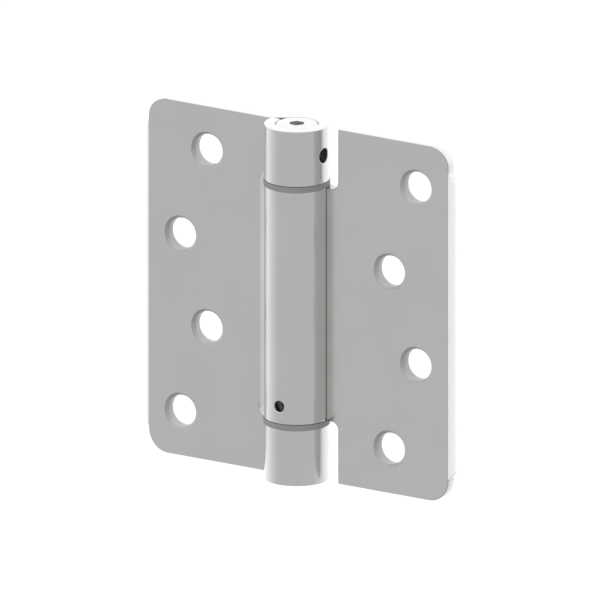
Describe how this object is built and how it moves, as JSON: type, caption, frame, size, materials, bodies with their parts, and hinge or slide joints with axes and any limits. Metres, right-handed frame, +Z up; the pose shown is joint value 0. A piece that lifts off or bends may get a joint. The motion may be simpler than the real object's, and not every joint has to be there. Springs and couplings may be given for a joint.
{
  "type": "spring hinge",
  "caption": "Full-mortise spring hinge lying flat open, with round-cornered leaves, staggered countersunk holes and a coil spring wound by a socket cap inside its barrel.",
  "frame": {"origin": "on the pin axis, half-way up the hinge, with the leaves flat open", "axes": "+X out along the barrel leaf, +Y away from the countersunk faces, +Z up the pin axis"},
  "size_m": [0.1016, 0.0186, 0.1016],
  "materials": {
    "satin_steel": "satin chrome plate on steel",
    "cap_steel": "turned steel, satin chrome plate",
    "bearing": "dark grey moulded bearing, matt",
    "spring_steel": "oiled spring steel",
    "plug_steel": "plain turned steel"
  },
  "bodies": {
    "knuckle_side": {"knuckle_leaf": "satin_steel", "lower_bearing": "bearing", "bottom_plug": "cap_steel"},
    "barrel_side": {"barrel_leaf": "satin_steel", "upper_bearing": "bearing", "anchor_plug": "plug_steel", "anchor_pin": "spring_steel", "torsion_spring": "spring_steel"},
    "adjuster": {"tension_cap": "cap_steel"}
  },
  "joints": [
    {"name": "leaf_swing", "type": "hinge", "parent": "knuckle_side", "child": "barrel_side", "pos_m": [0, 0, 0], "axis": [0, 0, 1], "range_deg": [-180, 90], "stiffness_Nm_per_rad": 0.8, "deforming": ["torsion_spring"]},
    {"name": "tension_adjust", "type": "hinge", "parent": "knuckle_side", "child": "adjuster", "pos_m": [0, 0, 0.04286], "axis": [0, 0, -1], "range_deg": [0, 270], "stiffness_Nm_per_rad": 0.8, "deforming": ["torsion_spring"]}
  ]
}
